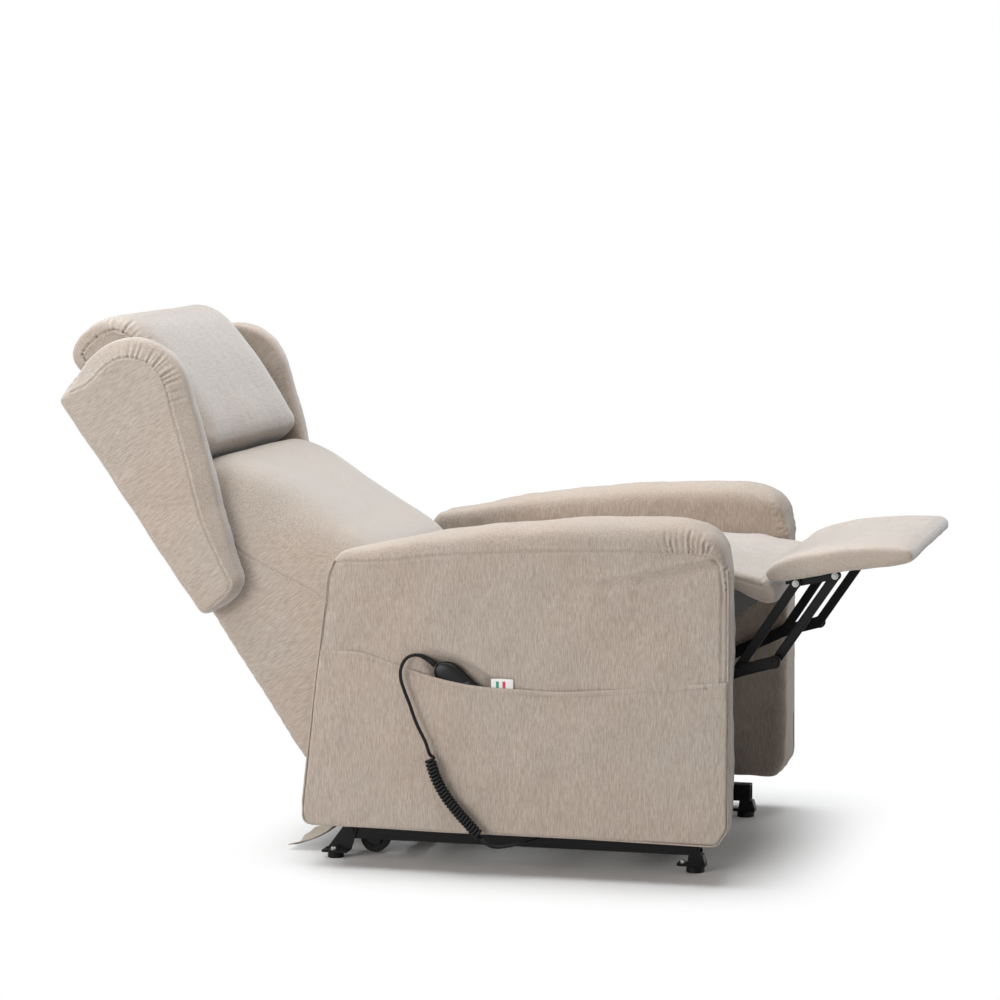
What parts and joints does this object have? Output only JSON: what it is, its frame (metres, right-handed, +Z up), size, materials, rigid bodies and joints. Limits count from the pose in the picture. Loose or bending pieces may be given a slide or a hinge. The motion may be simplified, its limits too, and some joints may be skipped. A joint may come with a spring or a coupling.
{
  "type": "lift recliner chair",
  "caption": "Powered lift recliner chair with winged back, folding footrest, padded arms, side pocket and a wired handset on a curly cord.",
  "frame": {"origin": "on the floor, under the middle of the chair's bounding box", "axes": "+Z up, the seat faces -Y, and the sitter's right hand is at -X"},
  "size_m": [0.7763, 1.4592, 0.9327],
  "materials": {
    "fabric": "greige chenille with fine streaks",
    "lining": "pale woven lining",
    "frame_steel": "black powder coat",
    "zinc": "zinc plated",
    "timber": "plain pine and plywood",
    "rubber": "black rubber",
    "plastic": "black moulded plastic",
    "button": "pale grey keys"
  },
  "bodies": {
    "base": {"base_rail_left": "frame_steel", "base_rail_right": "frame_steel", "base_cross_tubes": "frame_steel", "base_feet": "frame_steel", "foot_glides": "rubber", "base_bolts": "zinc", "lift_brackets": "frame_steel", "wheel_axles": "zinc"},
    "wheel_left_body": {"wheel_left": "plastic"},
    "wheel_right_body": {"wheel_right": "plastic"},
    "lift": {"lift_torque_tube": "frame_steel", "lift_arms": "frame_steel"},
    "guide": {"front_links": "frame_steel"},
    "lift_motor_body": {"lift_motor": "plastic"},
    "lift_rod_body": {"lift_rod": "zinc"},
    "chassis": {"chassis_plate_left": "frame_steel", "chassis_plate_right": "frame_steel", "chassis_front_tube": "frame_steel", "chassis_rear_tube": "frame_steel", "seat_side_rails": "timber", "seat_front_rail": "fabric", "seat_rear_rail": "timber", "seat_springs": "zinc", "seat_cushion": "fabric", "arm_panels": "timber", "arm_cover_left": "fabric", "arm_cover_right": "fabric", "side_pocket": "fabric", "label_tag": "lining", "control_box": "plastic", "rear_valance": "fabric", "handset_shell": "plastic", "cord_glands": "rubber", "cord_lead": "rubber", "cord_curl": "rubber", "cord_tail": "rubber"},
    "key_back_up": {"button_back_up": "button"},
    "key_back_down": {"button_back_down": "button"},
    "key_lift_up": {"button_lift_up": "button"},
    "key_lift_down": {"button_lift_down": "button"},
    "backrest": {"back_side_rails": "timber", "back_cross_rails": "timber", "back_brackets": "frame_steel", "back_panel": "fabric", "back_cushion": "fabric", "head_cushion": "fabric", "wing_left": "fabric", "wing_right": "fabric"},
    "recline_motor_body": {"recline_motor": "plastic"},
    "recline_rod_body": {"recline_rod": "zinc"},
    "thigh": {"leg_drive_tube": "frame_steel", "lower_leg_links": "frame_steel"},
    "rear_leg": {"rear_leg_links": "frame_steel"},
    "front_leg": {"front_leg_links": "frame_steel"},
    "footrest": {"footrest_brackets": "frame_steel", "footrest_board": "timber", "footrest_pad": "fabric"},
    "flap": {"knee_flap": "fabric"},
    "leg_motor_body": {"leg_motor": "plastic"},
    "leg_rod_body": {"leg_rod": "zinc"}
  },
  "joints": [
    {"name": "wheel_left_spin", "type": "hinge", "parent": "base", "child": "wheel_left_body", "pos_m": [0, 0.194, 0.027], "axis": [1, 0, 0], "continuous": true},
    {"name": "wheel_right_spin", "type": "hinge", "parent": "base", "child": "wheel_right_body", "pos_m": [0, 0.194, 0.027], "axis": [1, 0, 0], "continuous": true},
    {"name": "lift_raise", "type": "hinge", "parent": "base", "child": "lift", "pos_m": [0, -0.22, 0.064], "axis": [1, 0, 0], "range_deg": [0, 50]},
    {"name": "chassis_tilt", "type": "hinge", "parent": "lift", "child": "chassis", "pos_m": [0, 0.23, 0.12], "axis": [1, 0, 0], "range_deg": [-30.1, 0]},
    {"name": "guide_swing", "type": "hinge", "parent": "base", "child": "guide", "pos_m": [0, -0.33, 0.08], "axis": [1, 0, 0], "range_deg": [0, 49.4]},
    {"name": "lift_motor_swing", "type": "hinge", "parent": "base", "child": "lift_motor_body", "pos_m": [0, 0.15, 0.092], "axis": [1, 0, 0], "range_deg": [0, 4.9]},
    {"name": "lift_rod_extend", "type": "slide", "parent": "lift_motor_body", "child": "lift_rod_body", "axis": [0, -0.9816, 0.1909], "range_m": [0, 0.0761]},
    {"name": "back_recline", "type": "hinge", "parent": "chassis", "child": "backrest", "pos_m": [0, 0.248, 0.29], "axis": [1, 0, 0], "range_deg": [0, 27]},
    {"name": "recline_motor_swing", "type": "hinge", "parent": "chassis", "child": "recline_motor_body", "pos_m": [0, -0.18, 0.19], "axis": [1, 0, 0], "range_deg": [-0.6, 0]},
    {"name": "recline_rod_extend", "type": "slide", "parent": "recline_motor_body", "child": "recline_rod_body", "axis": [0, 0.9987, -0.0515], "range_m": [0, 0.059]},
    {"name": "footrest_fold", "type": "hinge", "parent": "chassis", "child": "thigh", "pos_m": [0, -0.315, 0.284], "axis": [1, 0, 0], "range_deg": [0, 97.4]},
    {"name": "rear_leg_swing", "type": "hinge", "parent": "thigh", "child": "rear_leg", "pos_m": [0, -0.44, 0.344], "axis": [1, 0, 0], "range_deg": [-122.4, 0]},
    {"name": "front_leg_swing", "type": "hinge", "parent": "thigh", "child": "front_leg", "pos_m": [0, -0.504, 0.362], "axis": [1, 0, 0], "range_deg": [-124.6, 0]},
    {"name": "footrest_tilt", "type": "hinge", "parent": "rear_leg", "child": "footrest", "pos_m": [0, -0.538, 0.494], "axis": [1, 0, 0], "range_deg": [0, 122.4]},
    {"name": "leg_motor_swing", "type": "hinge", "parent": "chassis", "child": "leg_motor_body", "pos_m": [0, 0.06, 0.23], "axis": [1, 0, 0], "range_deg": [-2.2, 0]},
    {"name": "leg_rod_extend", "type": "slide", "parent": "leg_motor_body", "child": "leg_rod_body", "axis": [0, -0.999, 0.0454], "range_m": [-0.0602, 0]},
    {"name": "flap_fold", "type": "hinge", "parent": "chassis", "child": "flap", "pos_m": [0, -0.438, 0.489], "axis": [1, 0, 0], "range_deg": [0, 67.3]},
    {"name": "press_back_up", "type": "slide", "parent": "chassis", "child": "key_back_up", "axis": [1, 0, 0], "range_m": [0, 0.001], "stiffness_N_per_m": 400},
    {"name": "press_back_down", "type": "slide", "parent": "chassis", "child": "key_back_down", "axis": [1, 0, 0], "range_m": [0, 0.001], "stiffness_N_per_m": 400},
    {"name": "press_lift_up", "type": "slide", "parent": "chassis", "child": "key_lift_up", "axis": [1, 0, 0], "range_m": [0, 0.001], "stiffness_N_per_m": 400},
    {"name": "press_lift_down", "type": "slide", "parent": "chassis", "child": "key_lift_down", "axis": [1, 0, 0], "range_m": [0, 0.001], "stiffness_N_per_m": 400}
  ],
  "couplings": [
    {"joint": "chassis_tilt", "follows": "lift_raise", "ratio": -0.6},
    {"joint": "guide_swing", "follows": "lift_raise", "ratio": 0.988},
    {"joint": "lift_motor_swing", "follows": "lift_raise", "ratio": 0.096},
    {"joint": "lift_rod_extend", "follows": "lift_raise", "m_per_rad": 0.0871},
    {"joint": "recline_motor_swing", "follows": "back_recline", "ratio": -0.022},
    {"joint": "recline_rod_extend", "follows": "back_recline", "m_per_rad": 0.1252},
    {"joint": "rear_leg_swing", "follows": "footrest_fold", "ratio": -1.256},
    {"joint": "front_leg_swing", "follows": "footrest_fold", "ratio": -1.279},
    {"joint": "footrest_tilt", "follows": "footrest_fold", "ratio": 1.256},
    {"joint": "leg_motor_swing", "follows": "footrest_fold", "ratio": -0.022},
    {"joint": "leg_rod_extend", "follows": "footrest_fold", "m_per_rad": -0.0354},
    {"joint": "flap_fold", "follows": "footrest_fold", "ratio": 0.69}
  ]
}
